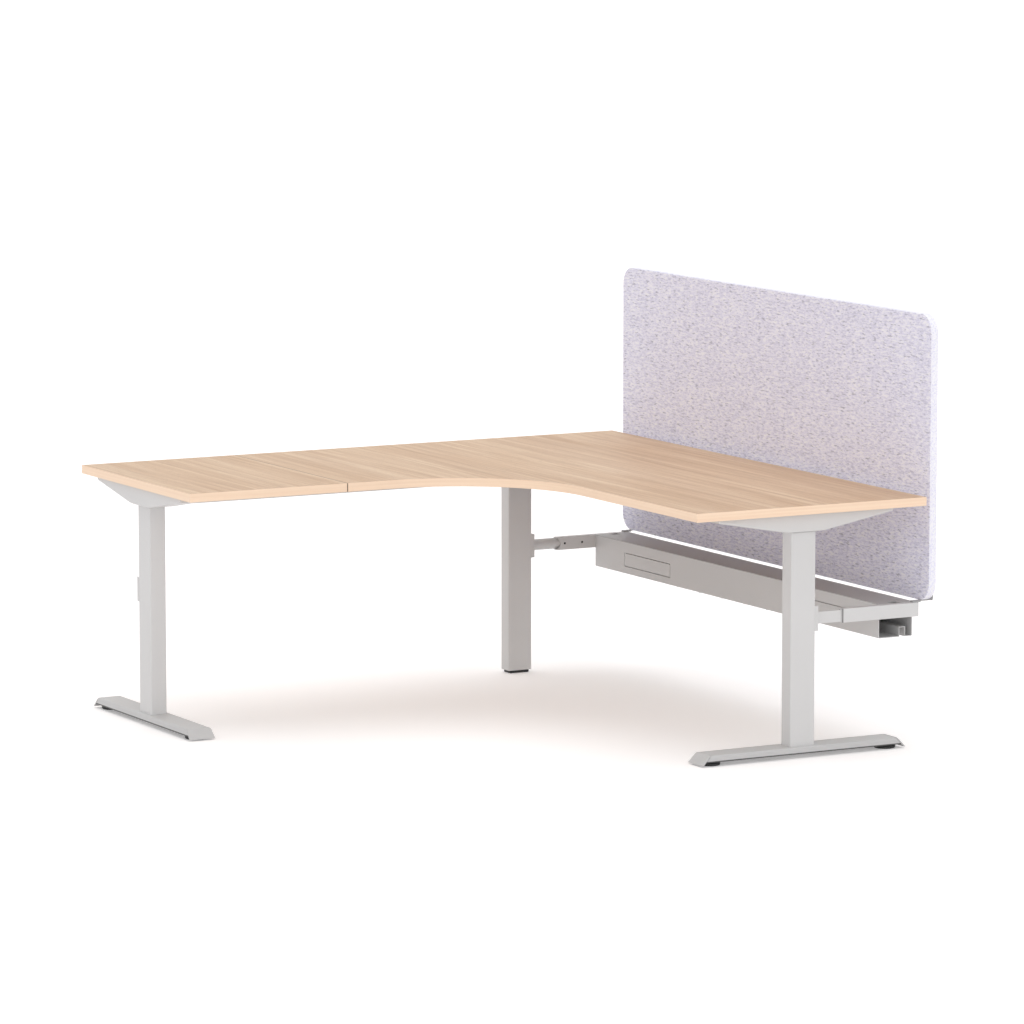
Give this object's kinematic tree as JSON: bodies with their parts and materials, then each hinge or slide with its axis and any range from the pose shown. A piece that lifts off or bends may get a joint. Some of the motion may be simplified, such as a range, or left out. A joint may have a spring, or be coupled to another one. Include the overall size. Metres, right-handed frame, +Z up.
{
  "type": "height-adjustable corner workstation",
  "caption": "Radial corner desk with oak worktop in two boards on motor-driven telescopic legs, with a felt rear screen and a cable tray carried on arms behind the desk.",
  "frame": {"origin": "on the floor at the centre of the bounding box, with the worktop lowered", "axes": "+Z up, +X along the main desk away from the return, +Y to the rear edge with the screen"},
  "size_m": [1.8, 1.852, 1.232],
  "materials": {
    "frame_coat": "fine-textured light grey powder coat",
    "tray_coat": "fine-textured light grey powder coat",
    "worktop": "light oak decor, matt",
    "edge_band": "light oak edge band, matt",
    "felt": "pressed grey felt, mottled",
    "glide_black": "black moulded",
    "zinc": "bright zinc plate",
    "nylon": "grey slide plastic",
    "bronze": "machined",
    "motor_black": "black moulded and coated",
    "cap_grey": "light grey moulded",
    "screw_dark": "black oxide"
  },
  "bodies": {
    "frame": {"arm_end_caps": "cap_grey", "arm_fixings": "screw_dark", "arm_sleeve_left": "frame_coat", "arm_sleeve_right": "frame_coat", "arm_tube_left": "frame_coat", "arm_tube_right": "frame_coat", "blank_cover_left": "tray_coat", "blank_cover_right": "tray_coat", "cable_tray": "tray_coat", "foot_bolts": "zinc", "foot_end_caps": "frame_coat", "foot_left": "frame_coat", "foot_right": "frame_coat", "guide_bushes": "nylon", "leg_plate_corner": "frame_coat", "leg_plate_left": "frame_coat", "leg_plate_right": "frame_coat", "lift_nuts": "bronze", "outer_column_corner": "frame_coat", "outer_column_left": "frame_coat", "outer_column_right": "frame_coat", "screen_bracket_left": "frame_coat", "screen_bracket_right": "frame_coat", "screen_panel": "felt", "screen_screws": "zinc", "spindle_post_corner": "zinc", "spindle_post_left": "zinc", "spindle_post_right": "zinc", "tray_fixings": "zinc", "tray_hanger_left": "tray_coat", "tray_hanger_right": "tray_coat", "tray_lid": "tray_coat"},
    "desktop": {"tabletop_main": "worktop", "tabletop_return": "worktop", "edge_band_main": "edge_band", "edge_band_return": "edge_band", "joining_plates": "zinc", "column_sliders": "nylon", "control_box": "motor_black", "main_rails": "frame_coat", "return_rails": "frame_coat", "frame_bolts": "zinc", "worktop_screws": "zinc", "wing_bracket_right": "frame_coat", "inner_column_right": "frame_coat", "drive_unit_right": "motor_black", "wing_bracket_corner": "frame_coat", "inner_column_corner": "frame_coat", "drive_unit_corner": "motor_black", "wing_bracket_left": "frame_coat", "inner_column_left": "frame_coat", "drive_unit_left": "motor_black"},
    "spindle_right": {"spindle_right": "zinc"},
    "spindle_corner": {"spindle_corner": "zinc"},
    "spindle_left": {"spindle_left": "zinc"},
    "leveller_right_front": {"leveller_right_front": "glide_black"},
    "leveller_right_rear": {"leveller_right_rear": "glide_black"},
    "leveller_left_outer": {"leveller_left_outer": "glide_black"},
    "leveller_left_inner": {"leveller_left_inner": "glide_black"},
    "leveller_corner": {"leveller_corner": "glide_black"}
  },
  "joints": [
    {"name": "lift", "type": "slide", "parent": "frame", "child": "desktop", "axis": [0, 0, 1], "range_m": [0, 0.48]},
    {"name": "spindle_right_turn", "type": "hinge", "parent": "desktop", "child": "spindle_right", "pos_m": [0.829, 0.4965, 0.3], "axis": [0, 0, 1], "range_deg": [0, 14410]},
    {"name": "spindle_corner_turn", "type": "hinge", "parent": "desktop", "child": "spindle_corner", "pos_m": [-0.829, 0.4965, 0.3], "axis": [0, 0, 1], "range_deg": [0, 14410]},
    {"name": "spindle_left_turn", "type": "hinge", "parent": "desktop", "child": "spindle_left", "pos_m": [-0.525, -0.8735, 0.3], "axis": [0, 0, 1], "range_deg": [0, 14410]},
    {"name": "leveller_right_front_screw", "type": "slide", "parent": "frame", "child": "leveller_right_front", "axis": [0, 0, -1], "range_m": [0, 0.012]},
    {"name": "leveller_right_rear_screw", "type": "slide", "parent": "frame", "child": "leveller_right_rear", "axis": [0, 0, -1], "range_m": [0, 0.012]},
    {"name": "leveller_left_outer_screw", "type": "slide", "parent": "frame", "child": "leveller_left_outer", "axis": [0, 0, -1], "range_m": [0, 0.012]},
    {"name": "leveller_left_inner_screw", "type": "slide", "parent": "frame", "child": "leveller_left_inner", "axis": [0, 0, -1], "range_m": [0, 0.012]},
    {"name": "leveller_corner_screw", "type": "slide", "parent": "frame", "child": "leveller_corner", "axis": [0, 0, -1], "range_m": [0, 0.012]}
  ],
  "couplings": [
    {"joint": "spindle_right_turn", "follows": "lift", "rad_per_m": 523.6},
    {"joint": "spindle_corner_turn", "follows": "lift", "rad_per_m": 523.6},
    {"joint": "spindle_left_turn", "follows": "lift", "rad_per_m": 523.6}
  ]
}
